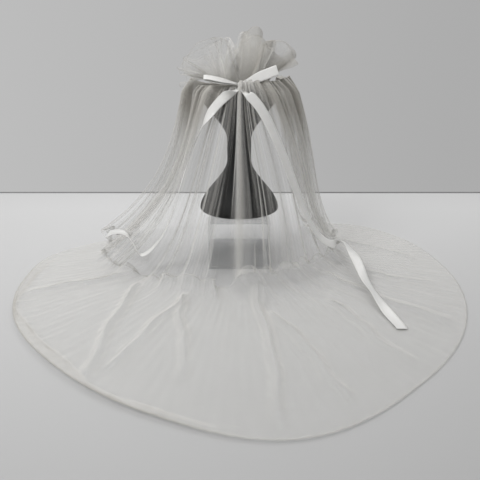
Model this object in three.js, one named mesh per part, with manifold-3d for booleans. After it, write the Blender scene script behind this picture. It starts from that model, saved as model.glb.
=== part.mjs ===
// A bridal veil of ivory tulle, shown on a waisted black stand that stands on a clear acrylic riser.
// The tulle is gathered on a short curved heading, stands up above it as a pouf of ruffles, falls over the
// stand's top rim and spreads over the floor as a train. A satin ribbon is tied round the gathers in a bow.
// Millimetres, +Z up. The origin is on the floor, on the stand's axis, and the bow faces -Y.
// A bearing is an angle round the stand's axis, in degrees: 0 is the front (-Y) and 90 is the right (+X).

import * as THREE from "three";
import Module from "manifold-3d";

const wasm = await Module();
wasm.setup();

// Driving sizes
const SEAT_GAP = 0.3; // what is left between two solids that touch
const TULLE = 1.2; // wall of the tulle, with the air that its stiffness holds
const SATIN = 1.0; // wall of the ribbon

const riser = { width: 150, depth: 205, height: 122, wall: 5, front: -125 };
const stand = { height: 303, rimRadius: 101, waistRadius: 30, flareShare: 0.84, facets: 36, steps: 7 };
const heading = { radius: 86, halfDepth: 5.5, halfHeight: 8.5, halfBearing: 56 };
const ribbon = { width: 22, knot: new THREE.Vector3(2, -98.4, 441) };

const riserTop = riser.height;
const standFoot = riserTop + SEAT_GAP;
const standTop = standFoot + stand.height;
const headingCentreZ = standTop + SEAT_GAP + heading.halfHeight;

// The veil's falling stretch and its train
const fall = {
  leftBearing: -112,
  rightBearing: 134,
  fan: 22, // degrees by which the folds spread from the rim to the floor
  pleats: 24,
  samplesPerPleat: 5,
  folds: 12, // the pleats run together into these broader folds near the floor
  gatherRadius: heading.radius + heading.halfDepth + TULLE / 2 + 0.5,
  gatherZ: headingCentreZ + 3,
  crestRadius: 102.1,
  crestZ: standTop + 1.1,
  rimRadius: 102.8,
  rimZ: standTop - 1.5,
  shoulderRows: 3,
  dropRows: 9,
};

// Where the cloth meets the floor, where the hem lies and how far a flank stands out, by bearing
const skirt = [
  { bearing: -112, foot: 306, hem: 322, flare: 1 },
  { bearing: -100, foot: 340, hem: 378, flare: 1 },
  { bearing: -86, foot: 352, hem: 486, flare: 0.95 },
  { bearing: -70, foot: 322, hem: 542, flare: 0.7 },
  { bearing: -52, foot: 278, hem: 595, flare: 0.35 },
  { bearing: -32, foot: 246, hem: 640, flare: 0.1 },
  { bearing: -12, foot: 232, hem: 696, flare: 0 },
  { bearing: 6, foot: 228, hem: 742, flare: 0 },
  { bearing: 28, foot: 229, hem: 672, flare: 0 },
  { bearing: 52, foot: 236, hem: 600, flare: 0.05 },
  { bearing: 79, foot: 244, hem: 520, flare: 0.1 },
  { bearing: 101, foot: 250, hem: 462, flare: 0.1 },
  { bearing: 124, foot: 256, hem: 368, flare: 0.15 },
  { bearing: 134, foot: 258, hem: 288, flare: 0.2 },
];

// The largest folds that stand up on the train: a ridge from one plan point to another
const ridges = [
  { fromX: -240, fromY: -158, toX: -478, toY: -262, height: 16, halfWidth: 22 },
  { fromX: -243, fromY: -214, toX: -268, toY: -598, height: 15, halfWidth: 18 },
  { fromX: -119, fromY: -289, toX: -237, toY: -550, height: 12, halfWidth: 18 },
  { fromX: -125, fromY: -280, toX: -98, toY: -590, height: 11, halfWidth: 16 },
  { fromX: 43, fromY: -251, toX: 68, toY: -700, height: 15, halfWidth: 18 },
  { fromX: 73, fromY: -360, toX: 181, toY: -630, height: 14, halfWidth: 18 },
  { fromX: 198, fromY: -303, toX: 309, toY: -530, height: 10, halfWidth: 17 },
  { fromX: 196, fromY: -190, toX: 425, toY: -392, height: 18, halfWidth: 26 },
  { fromX: 300, fromY: -150, toX: 452, toY: -212, height: 9, halfWidth: 17 },
  { fromX: 250, fromY: 90, toX: 447, toY: -60, height: 11, halfWidth: 20 },
];

// The pouf: four fans of ruffles, from the one that leans to the front to the one that leans back
const ruffles = [
  { name: "pouf_ruffle_front", radius: 89.2, lean: 14, arch: 30, share: 0.94, start: 20, end: 183, waves: 10, phase: 0.2 },
  { name: "pouf_ruffle_second", radius: 87, lean: -6, arch: 24, share: 1, start: 17, end: 176, waves: 10, phase: 0.65 },
  { name: "pouf_ruffle_third", radius: 84.8, lean: -27, arch: 14, share: 0.96, start: 18, end: 172, waves: 9, phase: 0.1 },
  { name: "pouf_ruffle_back", radius: 82, lean: -50, arch: 8, share: 0.82, start: 24, end: 166, waves: 8, phase: 0.4 },
];

// How far the pouf's edge is from the heading's middle, by the angle above +X seen from the front
const poufEdge = [
  { angle: -10, reach: 100 },
  { angle: 10, reach: 138 },
  { angle: 17, reach: 145 },
  { angle: 24, reach: 142 },
  { angle: 41, reach: 139 },
  { angle: 60, reach: 116 },
  { angle: 77, reach: 122 },
  { angle: 88, reach: 98 },
  { angle: 97, reach: 80 },
  { angle: 104, reach: 96 },
  { angle: 112, reach: 124 },
  { angle: 128, reach: 134 },
  { angle: 150, reach: 147 },
  { angle: 160, reach: 143 },
  { angle: 176, reach: 134 },
  { angle: 189, reach: 136 },
  { angle: 200, reach: 130 },
];

// The bow's loops: where each ends, which way the ribbon's width lies and half of how far it opens
const loops = {
  left: { tip: new THREE.Vector3(-78, -116, 458), side: new THREE.Vector3(0, 0.8, 0.6), gap: 5 },
  right: { tip: new THREE.Vector3(84, -119, 474), side: new THREE.Vector3(-0.3, 0.25, 0.9), gap: 5 },
};

// The ribbon's tails: where each lies on the fall, by bearing and by the share of the drop
const tailRight = {
  fall: [
    { bearing: 12, share: 0.02 },
    { bearing: 24, share: 0.12 },
    { bearing: 34, share: 0.25 },
    { bearing: 44, share: 0.42 },
    { bearing: 53, share: 0.6 },
    { bearing: 66, share: 0.78 },
    { bearing: 78, share: 0.93 },
  ],
  floor: [
    { x: 262, y: -62 },
    { x: 276, y: -130 },
    { x: 287, y: -225 },
    { x: 300, y: -315 },
    { x: 328, y: -426 },
  ],
};
const tailLeft = {
  fall: [
    { bearing: -16, share: 0.02 },
    { bearing: -30, share: 0.09 },
    { bearing: -41, share: 0.2 },
    { bearing: -47, share: 0.36 },
    { bearing: -49, share: 0.55 },
    { bearing: -52, share: 0.72 },
    { bearing: -58, share: 0.86 },
  ],
  arch: [
    { x: -250, y: -150, z: 72 },
    { x: -276, y: -126, z: 96 },
    { x: -304, y: -104, z: 92 },
    { x: -332, y: -78, z: 74 },
  ],
};

const radians = THREE.MathUtils.degToRad;
const lerp = THREE.MathUtils.lerp;
const clamp = THREE.MathUtils.clamp;
const smoothstep = THREE.MathUtils.smoothstep;

// A value read from a table's column at a key, with a smooth curve through its rows
function readTable(rows, key, column, at) {
  const last = rows.length - 1;
  const inside = clamp(at, rows[0][key], rows[last][key]);
  let i = 0;
  while (i < last - 1 && rows[i + 1][key] < inside) i += 1;
  const before = rows[Math.max(i - 1, 0)];
  const [a, b] = [rows[i], rows[i + 1]];
  const after = rows[Math.min(i + 2, last)];
  const span = b[key] - a[key];
  const slopeA = ((b[column] - before[column]) / (b[key] - before[key])) * span;
  const slopeB = ((after[column] - a[column]) / (after[key] - a[key])) * span;
  const t = (inside - a[key]) / span;
  const [t2, t3] = [t * t, t * t * t];
  return (
    (2 * t3 - 3 * t2 + 1) * a[column] +
    (t3 - 2 * t2 + t) * slopeA +
    (3 * t2 - 2 * t3) * b[column] +
    (t3 - t2) * slopeB
  );
}

// A point at a bearing, a distance from the stand's axis and a height
function around(bearing, radius, z) {
  const angle = radians(bearing);
  return new THREE.Vector3(radius * Math.sin(angle), -radius * Math.cos(angle), z);
}

// A closed solid from rings of points: its side runs from ring to ring and both ends are capped
function loft(rings) {
  const count = rings[0].length;
  const points = rings.flat();
  const faces = [];
  for (let k = 0; k < rings.length - 1; k += 1) {
    for (let i = 0; i < count; i += 1) {
      const [a, b] = [k * count + i, k * count + ((i + 1) % count)];
      faces.push(a, b, a + count, b, b + count, a + count);
    }
  }
  for (const [ring, start, outward] of [
    [rings[0], 0, false],
    [rings[rings.length - 1], (rings.length - 1) * count, true],
  ]) {
    const middle = points.length;
    points.push(ring.reduce((sum, p) => sum.add(p), new THREE.Vector3()).divideScalar(count));
    for (let i = 0; i < count; i += 1) {
      const [a, b] = [start + i, start + ((i + 1) % count)];
      faces.push(middle, outward ? a : b, outward ? b : a);
    }
  }
  return new THREE.BufferGeometry().setFromPoints(points).setIndex(faces);
}

// A wall of cloth: the middle sheet's points, moved half the thickness to each side and closed round the edge
function clothWall(middlePoint, columns, rows, thickness) {
  const middle = (i, j) => middlePoint(i / columns, j / rows);
  const sides = [[], []];
  for (let j = 0; j <= rows; j += 1) {
    for (let i = 0; i <= columns; i += 1) {
      const across = middle(Math.min(i + 1, columns), j).sub(middle(Math.max(i - 1, 0), j));
      const down = middle(i, Math.min(j + 1, rows)).sub(middle(i, Math.max(j - 1, 0)));
      const normal = across.cross(down).normalize();
      sides[0].push(middle(i, j).addScaledVector(normal, -thickness / 2));
      sides[1].push(middle(i, j).addScaledVector(normal, thickness / 2));
    }
  }
  const width = columns + 1;
  const backStart = width * (rows + 1);
  const faces = [];
  for (let j = 0; j < rows; j += 1) {
    for (let i = 0; i < columns; i += 1) {
      const [a, b, c, d] = [j * width + i, j * width + i + 1, (j + 1) * width + i, (j + 1) * width + i + 1];
      faces.push(a, c, b, b, c, d);
      faces.push(backStart + a, backStart + b, backStart + c, backStart + b, backStart + d, backStart + c);
    }
  }
  const edge = [];
  for (let i = 0; i < columns; i += 1) edge.push(i);
  for (let j = 0; j < rows; j += 1) edge.push(j * width + columns);
  for (let i = columns; i > 0; i -= 1) edge.push(rows * width + i);
  for (let j = rows; j > 0; j -= 1) edge.push(j * width);
  edge.forEach((a, k) => {
    const b = edge[(k + 1) % edge.length];
    faces.push(a, b, backStart + a, b, backStart + b, backStart + a);
  });
  return new THREE.BufferGeometry().setFromPoints([...sides[0], ...sides[1]]).setIndex(faces);
}

// A geometry as a solid for cutting, and back
function toSolid(geometry) {
  const vertProperties = geometry.attributes.position.array;
  return new wasm.Manifold(
    new wasm.Mesh({ numProp: 3, vertProperties, triVerts: new Uint32Array(geometry.index.array) }),
  );
}
function toGeometry(solid) {
  const mesh = solid.getMesh();
  return new THREE.BufferGeometry()
    .setAttribute("position", new THREE.BufferAttribute(mesh.vertProperties, 3))
    .setIndex([...mesh.triVerts]);
}

// A block between two corners
function block(low, high) {
  const corner = (x, y, z) => new THREE.Vector3(x, y, z);
  const ring = (z) => [
    corner(low.x, low.y, z),
    corner(high.x, low.y, z),
    corner(high.x, high.y, z),
    corner(low.x, high.y, z),
  ];
  return loft([ring(low.z), ring(high.z)]);
}

// The riser is a clear box of five panels, with its open side at the back
function makeRiser() {
  const half = riser.width / 2;
  const back = riser.front + riser.depth;
  const outside = block({ x: -half, y: riser.front, z: 0 }, { x: half, y: back, z: riser.height });
  const inside = block(
    { x: riser.wall - half, y: riser.front + riser.wall, z: riser.wall },
    { x: half - riser.wall, y: back + riser.wall, z: riser.height - riser.wall },
  );
  return toGeometry(toSolid(outside).subtract(toSolid(inside)));
}

// The stand is turned: two equal bells, foot to foot at the waist
function makeStand() {
  const half = stand.height / 2;
  const profile = [new THREE.Vector2(0, 0)];
  const bell = (share) => {
    const spread = 1 - smoothstep(share / stand.flareShare, 0, 1);
    return lerp(stand.waistRadius, stand.rimRadius, spread);
  };
  for (let k = 0; k <= stand.steps; k += 1) {
    const share = k / stand.steps;
    profile.push(new THREE.Vector2(bell(share), half * share));
  }
  for (let k = stand.steps - 1; k >= 0; k -= 1) {
    const share = k / stand.steps;
    profile.push(new THREE.Vector2(bell(share), half * (2 - share)));
  }
  profile.push(new THREE.Vector2(0, stand.height));
  const turned = new THREE.LatheGeometry(profile, stand.facets).rotateX(Math.PI / 2);
  return turned.translate(0, 0, standFoot);
}

// The heading is the sewn bunch that the gathers and the ruffles are stitched to: a rounded, curved bar
function makeHeading() {
  const rings = [];
  const steps = 20;
  const sides = 12;
  for (let k = 0; k <= steps; k += 1) {
    const bearing = lerp(-heading.halfBearing, heading.halfBearing, k / steps);
    const fromEnd = Math.min(k, steps - k) / steps;
    const fullness = lerp(0.55, 1, smoothstep(fromEnd, 0, 0.12));
    const ring = [];
    for (let i = 0; i < sides; i += 1) {
      const angle = (-2 * Math.PI * i) / sides;
      const radius = heading.radius + heading.halfDepth * fullness * Math.cos(angle);
      ring.push(around(bearing, radius, headingCentreZ + heading.halfHeight * fullness * Math.sin(angle)));
    }
    rings.push(ring);
  }
  return loft(rings);
}

// The section of the fall at a bearing: a curve from the stand's rim to the floor, in radius and height
function fallSection(bearing, share) {
  const foot = readTable(skirt, "bearing", "foot", bearing);
  const flare = readTable(skirt, "bearing", "flare", bearing);
  const landing = TULLE / 2;
  const radii = [fall.rimRadius, lerp(146, 118, flare), lerp(foot - 48, foot - 84, flare), foot];
  const heights = [fall.rimZ, lerp(236, 262, flare), lerp(landing, 122, flare), landing];
  const s = 1 - share;
  const weights = [s * s * s, 3 * s * s * share, 3 * s * share * share, share * share * share];
  const slopes = [-3 * s * s, 3 * s * s - 6 * s * share, 6 * s * share - 3 * share * share, 3 * share * share];
  const sum = (values, by) => values.reduce((total, value, k) => total + value * by[k], 0);
  const slope = new THREE.Vector2(sum(radii, slopes), sum(heights, slopes)).normalize();
  return { radius: sum(radii, weights), z: sum(heights, weights), outR: -slope.y, outZ: slope.x };
}

// How far the pleats stand out from the fall, for a place across the cloth and down it
function pleatHeight(across, share) {
  const uneven = 0.45 * Math.sin(2 * Math.PI * 3 * across + 0.7) + 0.3 * Math.sin(2 * Math.PI * 7 * across);
  const fine = 1 + Math.cos(2 * Math.PI * fall.pleats * across + uneven);
  const broad = 1 + Math.cos(2 * Math.PI * fall.folds * across + 1.3 + uneven);
  const fineDepth = lerp(2.0, 3.6, smoothstep(share, 0, 0.3)) * (1 - smoothstep(share, 0.45, 1));
  const broadDepth = 5.2 * smoothstep(share, 0.1, 0.55) * lerp(1, 0.45, smoothstep(share, 0.7, 1));
  return fineDepth * fine + broadDepth * broad;
}

// The bearing of a fold: it fans out from where it crosses the rim to where it meets the floor
function foldBearing(across, share) {
  const atRim = lerp(fall.leftBearing, fall.rightBearing, across);
  const limit = atRim < 0 ? fall.leftBearing : fall.rightBearing;
  const atFloor = atRim + fall.fan * Math.sin(Math.PI * Math.abs(atRim / limit)) * Math.sign(atRim);
  return lerp(atRim, atFloor, 1 - (1 - share) ** 3);
}

// The fall's middle sheet: from the heading over the stand's rim, then down to the floor
function fallPoint(across, down) {
  const row = Math.round(down * (fall.shoulderRows + fall.dropRows));
  const atRim = lerp(fall.leftBearing, fall.rightBearing, across);
  if (row <= fall.shoulderRows) {
    const share = row / fall.shoulderRows;
    const widest = Math.max(-fall.leftBearing, fall.rightBearing);
    const gathered = heading.halfBearing * Math.abs(atRim / widest) ** 1.4 * Math.sign(atRim);
    const radius = lerp(fall.gatherRadius, fall.crestRadius, share);
    const z = lerp(fall.gatherZ, fall.crestZ, share) + pleatHeight(across, 0) * share;
    return around(lerp(gathered, atRim, share), radius, z);
  }
  const share = (row - fall.shoulderRows - 1) / (fall.dropRows - 1);
  const bearing = foldBearing(across, share);
  const { radius, z, outR, outZ } = fallSection(bearing, share);
  const pleat = pleatHeight(across, share);
  return around(bearing, radius + outR * pleat, z + outZ * pleat);
}

const trainColumns = fall.folds * 8;
const trainRows = 9;

// The height of the train's folds at a plan point
function ridgeHeight(x, y) {
  return ridges.reduce((sum, ridge) => {
    const [dx, dy] = [ridge.toX - ridge.fromX, ridge.toY - ridge.fromY];
    const along = ((x - ridge.fromX) * dx + (y - ridge.fromY) * dy) / (dx * dx + dy * dy);
    const nearest = clamp(along, 0, 1);
    const off = Math.hypot(x - ridge.fromX - nearest * dx, y - ridge.fromY - nearest * dy);
    const taper = lerp(1, 0.45, nearest);
    return sum + ridge.height * taper * Math.exp(-((off / (ridge.halfWidth * taper)) ** 2));
  }, 0);
}

// The train's middle sheet: flat on the floor but for its folds, and lifted at the hem
function trainPoint(across, out) {
  const bearing = foldBearing(across, 1);
  const start = readTable(skirt, "bearing", "foot", bearing) + 4.5;
  const hem = readTable(skirt, "bearing", "hem", bearing);
  const radius = lerp(start, hem, out);
  const fading = Math.exp(-(radius - start) / 90);
  const point = around(bearing, radius, 0);
  const inside = smoothstep(radius, start, start + 60) * smoothstep(hem - radius, 0, 40);
  const hemLift = lerp(2, 9, Math.exp(-(((bearing + 30) / 34) ** 2))) * smoothstep(out, 0.82, 1);
  point.z = TULLE / 2 + pleatHeight(across, 1) * fading + ridgeHeight(point.x, point.y) * inside + hemLift;
  return point;
}

// A ruffle of the pouf: a fluted fan that stands on the heading
function rufflePoint(ruffle, across, out) {
  const angle = lerp(ruffle.end, ruffle.start, across);
  const [toSide, toTop] = [Math.cos(radians(angle)), Math.sin(radians(angle))];
  const halfBearing = heading.halfBearing * 0.92;
  const bearing = halfBearing * toSide;
  const round = Math.sqrt(1 - ((ruffle.radius - heading.radius) / heading.halfDepth) ** 2);
  const foot = around(bearing, ruffle.radius, headingCentreZ + heading.halfHeight * round + TULLE / 2 + 0.4);
  const sideways = new THREE.Vector3(Math.cos(radians(bearing)), Math.sin(radians(bearing)), 0);
  const forward = around(bearing, 1, 0);
  const lean = radians(ruffle.lean);
  const ray = new THREE.Vector3()
    .addScaledVector(sideways, toSide * Math.cos(lean))
    .addScaledVector(forward, Math.sin(lean))
    .add(new THREE.Vector3(0, 0, toTop * Math.cos(lean)));
  const length = readTable(poufEdge, "angle", "reach", angle) * ruffle.share - Math.abs(foot.x);
  const flute = Math.cos(2 * Math.PI * (ruffle.waves * across + ruffle.phase));
  const depth = lerp(0.3, 9, smoothstep(out, 0, 0.8)) * (1 + 0.3 * Math.sin(9 * across + ruffle.phase * 9));
  const scallop = 1 + 0.05 * flute * out;
  const normal = forward.multiplyScalar(Math.cos(lean)).addScaledVector(sideways, -toSide * Math.sin(lean));
  normal.z -= toTop * Math.sin(lean);
  foot.z += ruffle.arch * toSide * toSide * (0.6 * Math.sin(Math.PI * out) - 0.5 * out * out);
  return foot.addScaledVector(ray, length * scallop * out).addScaledVector(normal, flute * depth);
}

// A strip of ribbon along a route of points, each with the direction of the ribbon's width
function ribbonStrip(route, width = ribbon.width) {
  const rings = route.map(({ point, side }, k) => {
    const before = route[Math.max(k - 1, 0)].point;
    const after = route[Math.min(k + 1, route.length - 1)].point;
    const ahead = after.clone().sub(before).normalize();
    const along = side.clone().addScaledVector(ahead, -side.dot(ahead)).normalize();
    const up = ahead.clone().cross(along).multiplyScalar(SATIN / 2);
    const half = along.multiplyScalar((route[k].width ?? width) / 2);
    return [
      point.clone().add(half).add(up),
      point.clone().sub(half).add(up),
      point.clone().sub(half).sub(up),
      point.clone().add(half).sub(up),
    ];
  });
  return loft(rings);
}

// A loop of the bow: the ribbon runs out from the knot, turns and comes back
function makeLoop({ tip, side, gap }) {
  const knot = ribbon.knot;
  const ahead = tip.clone().sub(knot).normalize();
  const apart = side.clone().cross(ahead).normalize();
  const start = knotHalf.x + 0.1;
  const length = tip.distanceTo(knot);
  const route = [];
  const steps = 9;
  for (let k = 0; k <= 2 * steps; k += 1) {
    const turn = Math.PI * (k / (2 * steps));
    const out = Math.sin(turn) ** 0.8;
    const offset = apart.clone().multiplyScalar(gap * Math.cos(turn) * (0.18 + 0.82 * Math.sin(turn)));
    const point = knot.clone().addScaledVector(ahead, lerp(start, length, out)).add(offset);
    route.push({ point, side, width: lerp(9, ribbon.width, smoothstep(out, 0, 0.55)) });
  }
  return ribbonStrip(route);
}

const knotHalf = new THREE.Vector3(7, 4.6, 5.4);
function makeKnot() {
  return new THREE.SphereGeometry(1, 14, 10)
    .scale(knotHalf.x, knotHalf.y, knotHalf.z)
    .translate(ribbon.knot.x, ribbon.knot.y, ribbon.knot.z);
}

// A place on the ribbon's route down the fall: just clear of the pleats
function onFall({ bearing, share }) {
  const { radius, z, outR, outZ } = fallSection(bearing, share);
  const clear = 12 * smoothstep(share, 0, 0.08) + 5 * smoothstep(share, 0.08, 0.2) + 8.9;
  return around(bearing, radius + outR * clear, z + outZ * clear);
}

// The height at which a ribbon clears the train at a plan point: it bridges from fold to fold
function overTrain(x, y) {
  let height = 0;
  for (let j = 0; j <= trainRows; j += 1) {
    for (let i = 0; i <= trainColumns; i += 1) {
      const node = trainPoint(i / trainColumns, j / trainRows);
      const away = Math.hypot(node.x - x, node.y - y);
      height = Math.max(height, node.z + (TULLE + SATIN) / 2 + 1 - 0.3 * Math.max(away - 22, 0));
    }
  }
  return height;
}

// A tail of the bow: from the knot down the fall, then over the floor, flat to whatever is under it
function makeTail(points) {
  const curve = new THREE.CatmullRomCurve3(points, false, "centripetal");
  const steps = 44;
  const route = [];
  for (let k = 0; k <= steps; k += 1) {
    const share = k / steps;
    const point = curve.getPointAt(share);
    const bearing = Math.atan2(point.x, -point.y);
    const side = new THREE.Vector3(Math.cos(bearing), Math.sin(bearing), 0);
    const width = lerp(8, ribbon.width, smoothstep(share, 0, 0.06));
    for (const off of [-0.5, 0, 0.5]) {
      const edge = point.clone().addScaledVector(side, off * width);
      point.z = Math.max(point.z, overTrain(edge.x, edge.y));
    }
    route.push({ point, side, width });
  }
  return ribbonStrip(route);
}

function makeRightTail() {
  const start = ribbon.knot.clone().add(new THREE.Vector3(3.2, -2.6, -5.6));
  return makeTail([
    start,
    ...tailRight.fall.map(onFall),
    ...tailRight.floor.map(({ x, y }) => new THREE.Vector3(x, y, SATIN)),
  ]);
}

function makeLeftTail() {
  const start = ribbon.knot.clone().add(new THREE.Vector3(-3.2, -2.8, -6.1));
  return makeTail([
    start,
    ...tailLeft.fall.map(onFall),
    ...tailLeft.arch.map(({ x, y, z }) => new THREE.Vector3(x, y, z)),
  ]);
}

const clear = new THREE.MeshStandardMaterial({ color: 0xe9eeee, roughness: 0.05, transparent: true, opacity: 0.35 });
const black = new THREE.MeshStandardMaterial({ color: 0x1c1d1d, roughness: 0.6 });
const tulle = new THREE.MeshStandardMaterial({ color: 0xeeece4, roughness: 0.85, transparent: true, opacity: 0.4 });
const satin = new THREE.MeshStandardMaterial({ color: 0xf6f5f1, roughness: 0.3 });

const pieces = [
  ["display_riser", makeRiser(), clear],
  ["display_stand", makeStand(), black],
  ["gathered_heading", makeHeading(), tulle],
  ["veil_fall", clothWall(fallPoint, fall.pleats * fall.samplesPerPleat, fall.shoulderRows + fall.dropRows, TULLE), tulle],
  ["veil_train", clothWall(trainPoint, trainColumns, trainRows, TULLE), tulle],
  ...ruffles.map((ruffle) => [
    ruffle.name,
    clothWall((across, out) => rufflePoint(ruffle, across, out), ruffle.waves * 5, 4, TULLE),
    tulle,
  ]),
  ["ribbon_knot", makeKnot(), satin],
  ["ribbon_loop_left", makeLoop(loops.left), satin],
  ["ribbon_loop_right", makeLoop(loops.right), satin],
  ["ribbon_tail_left", makeLeftTail(), satin],
  ["ribbon_tail_right", makeRightTail(), satin],
];

const veil = new THREE.Group();
for (const [name, geometry, material] of pieces) {
  const mesh = new THREE.Mesh(geometry, material);
  mesh.name = name;
  veil.add(mesh);
}

export default veil;
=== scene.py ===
import math

import bpy
import numpy as np
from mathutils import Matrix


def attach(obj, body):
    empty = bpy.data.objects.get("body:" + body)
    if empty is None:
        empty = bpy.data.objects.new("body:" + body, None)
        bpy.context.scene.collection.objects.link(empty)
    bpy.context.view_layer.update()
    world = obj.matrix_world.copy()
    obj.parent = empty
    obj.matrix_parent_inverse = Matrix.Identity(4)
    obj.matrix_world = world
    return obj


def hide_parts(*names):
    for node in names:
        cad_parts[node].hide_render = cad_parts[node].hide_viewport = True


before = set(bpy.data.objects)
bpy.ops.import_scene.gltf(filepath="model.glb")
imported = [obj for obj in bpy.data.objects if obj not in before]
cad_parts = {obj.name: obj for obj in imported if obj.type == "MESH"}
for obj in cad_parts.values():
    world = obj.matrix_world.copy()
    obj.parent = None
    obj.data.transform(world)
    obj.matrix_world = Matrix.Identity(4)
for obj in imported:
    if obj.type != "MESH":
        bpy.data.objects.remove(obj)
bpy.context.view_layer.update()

# The setting: a white floor that ends at a pale wall, under a wide soft ceiling light.
# The wall is the world's own colour, so that nothing stands between the veil's back and a camera behind it.
camera = bpy.data.objects.new("camera", bpy.data.cameras.new("camera"))
camera.data.sensor_width = 36
camera.data.lens = 42
camera.location = (0.002, -1.392, 0.572)
camera.rotation_euler = (math.radians(90 - 21.3), 0, 0)
bpy.context.scene.collection.objects.link(camera)
bpy.context.scene.camera = camera
bpy.context.scene.view_settings.view_transform = "Standard"
bpy.context.scene.cycles.transparent_max_bounces = 48

ceiling = bpy.data.objects.new("ceiling_light", bpy.data.lights.new("ceiling_light", "AREA"))
ceiling.data.shape = "RECTANGLE"
ceiling.data.size, ceiling.data.size_y = 3.0, 2.2
ceiling.data.energy = 22
ceiling.location = (0.05, 0.75, 2.2)
bpy.context.scene.collection.objects.link(ceiling)

window = bpy.data.objects.new("window_light", bpy.data.lights.new("window_light", "AREA"))
window.data.size = 0.6
window.data.energy = 10
window.location = (-0.8, -1.0, 1.4)
window.rotation_euler = (math.radians(50), 0, math.radians(-38))
bpy.context.scene.collection.objects.link(window)

world = bpy.data.worlds.new("room")
bpy.context.scene.world = world
world.use_nodes = True
nodes, links = world.node_tree.nodes, world.node_tree.links
# The wall's colour is lighter on the left and darker on the right: painted light falloff across the backdrop.
direction = nodes.new("ShaderNodeTexCoord")
parts = nodes.new("ShaderNodeSeparateXYZ")
across = nodes.new("ShaderNodeMapRange")
wall_painted_falloff = nodes.new("ShaderNodeMix")
wall_painted_falloff.data_type = "RGBA"
across.inputs["From Min"].default_value, across.inputs["From Max"].default_value = -0.45, 0.35
wall_painted_falloff.inputs["A"].default_value = (0.515, 0.515, 0.515, 1)
wall_painted_falloff.inputs["B"].default_value = (0.415, 0.415, 0.415, 1)
links.new(direction.outputs["Generated"], parts.inputs["Vector"])
links.new(parts.outputs["X"], across.inputs["Value"])
links.new(across.outputs["Result"], wall_painted_falloff.inputs["Factor"])
links.new(wall_painted_falloff.outputs["Result"], nodes["Background"].inputs["Color"])

floor_edge, floor_back, wall_y, floor_z = 4, 0.538, 0.54, -0.0004
floor_mesh = bpy.data.meshes.new("floor")
corners = [(-floor_edge, -floor_edge, floor_z), (floor_edge, -floor_edge, floor_z)]
corners += [(floor_edge, floor_back, floor_z), (-floor_edge, floor_back, floor_z)]
floor_mesh.from_pydata(corners, [], [(0, 1, 2, 3)])
floor = bpy.data.objects.new("floor", floor_mesh)
bpy.context.scene.collection.objects.link(floor)
floor_with_painted_shade = bpy.data.materials.new("floor_with_painted_shade")
floor_with_painted_shade.use_nodes = True
nodes, links = floor_with_painted_shade.node_tree.nodes, floor_with_painted_shade.node_tree.links
nodes["Principled BSDF"].inputs["Roughness"].default_value = 0.45
place = nodes.new("ShaderNodeTexCoord")
parts = nodes.new("ShaderNodeSeparateXYZ")
# The floor's colour goes from pale at the back to grey at the front: painted shade.
front_shade_mask = nodes.new("ShaderNodeMapRange")
front_shade_mask.inputs["From Min"].default_value, front_shade_mask.inputs["From Max"].default_value = 0.35, -0.95
floor_painted_shade = nodes.new("ShaderNodeMix")
floor_painted_shade.data_type = "RGBA"
floor_painted_shade.inputs["A"].default_value = (0.76, 0.76, 0.76, 1)
floor_painted_shade.inputs["B"].default_value = (0.46, 0.46, 0.46, 1)
links.new(place.outputs["Object"], parts.inputs["Vector"])
links.new(parts.outputs["Y"], front_shade_mask.inputs["Value"])
links.new(front_shade_mask.outputs["Result"], floor_painted_shade.inputs["Factor"])
links.new(floor_painted_shade.outputs["Result"], nodes["Principled BSDF"].inputs["Base Color"])
floor_mesh.materials.append(floor_with_painted_shade)

# A dark strip 4 mm high where the floor meets the wall's foot: painted shade in the corner, mottled at random
# by noise.
corner_shade_top = 0.0035
corner_shade_mesh = bpy.data.meshes.new("floor_corner_shade")
corners = [(-floor_edge, wall_y, floor_z), (floor_edge, wall_y, floor_z)]
corners += [(floor_edge, wall_y, corner_shade_top), (-floor_edge, wall_y, corner_shade_top)]
corner_shade_mesh.from_pydata(corners, [], [(0, 1, 2, 3)])
floor_corner_shade = bpy.data.objects.new("floor_corner_shade", corner_shade_mesh)
bpy.context.scene.collection.objects.link(floor_corner_shade)
shade = bpy.data.materials.new("joint_shade")
shade.use_nodes = True
nodes, links = shade.node_tree.nodes, shade.node_tree.links
shade_mottle = nodes.new("ShaderNodeTexNoise")
shade_mottle.inputs["Scale"].default_value = 3
shade_tone = nodes.new("ShaderNodeMix")
shade_tone.data_type = "RGBA"
shade_tone.inputs["A"].default_value = (0.2, 0.2, 0.2, 1)
shade_tone.inputs["B"].default_value = (0.4, 0.4, 0.4, 1)
links.new(shade_mottle.outputs["Fac"], shade_tone.inputs["Factor"])
links.new(shade_tone.outputs["Result"], nodes["Principled BSDF"].inputs["Base Color"])
corner_shade_mesh.materials.append(shade)

# The riser: an empty box of five clear cast acrylic panels, 5 mm thick, cemented at their edges and open at
# the back. The sawn and polished edges catch the light, and the panels show it only at a slant.
acrylic = bpy.data.materials.new("clear_acrylic")
acrylic.use_nodes = True
nodes, links = acrylic.node_tree.nodes, acrylic.node_tree.links
shader = nodes["Principled BSDF"]
shader.inputs["Roughness"].default_value = 0.04
shader.inputs["IOR"].default_value = 1.49
slant = nodes.new("ShaderNodeLayerWeight")
slant.inputs["Blend"].default_value = 0.2
place = nodes.new("ShaderNodeTexCoord")
cloud = nodes.new("ShaderNodeTexNoise")
cloud.inputs["Scale"].default_value = 9
solid = nodes.new("ShaderNodeMapRange")
solid.inputs["To Min"].default_value, solid.inputs["To Max"].default_value = 0.06, 0.45
tint = nodes.new("ShaderNodeMix")
tint.data_type = "RGBA"
tint.inputs["A"].default_value = (0.50, 0.51, 0.51, 1)
tint.inputs["B"].default_value = (0.60, 0.61, 0.61, 1)
links.new(place.outputs["Object"], cloud.inputs["Vector"])
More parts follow.
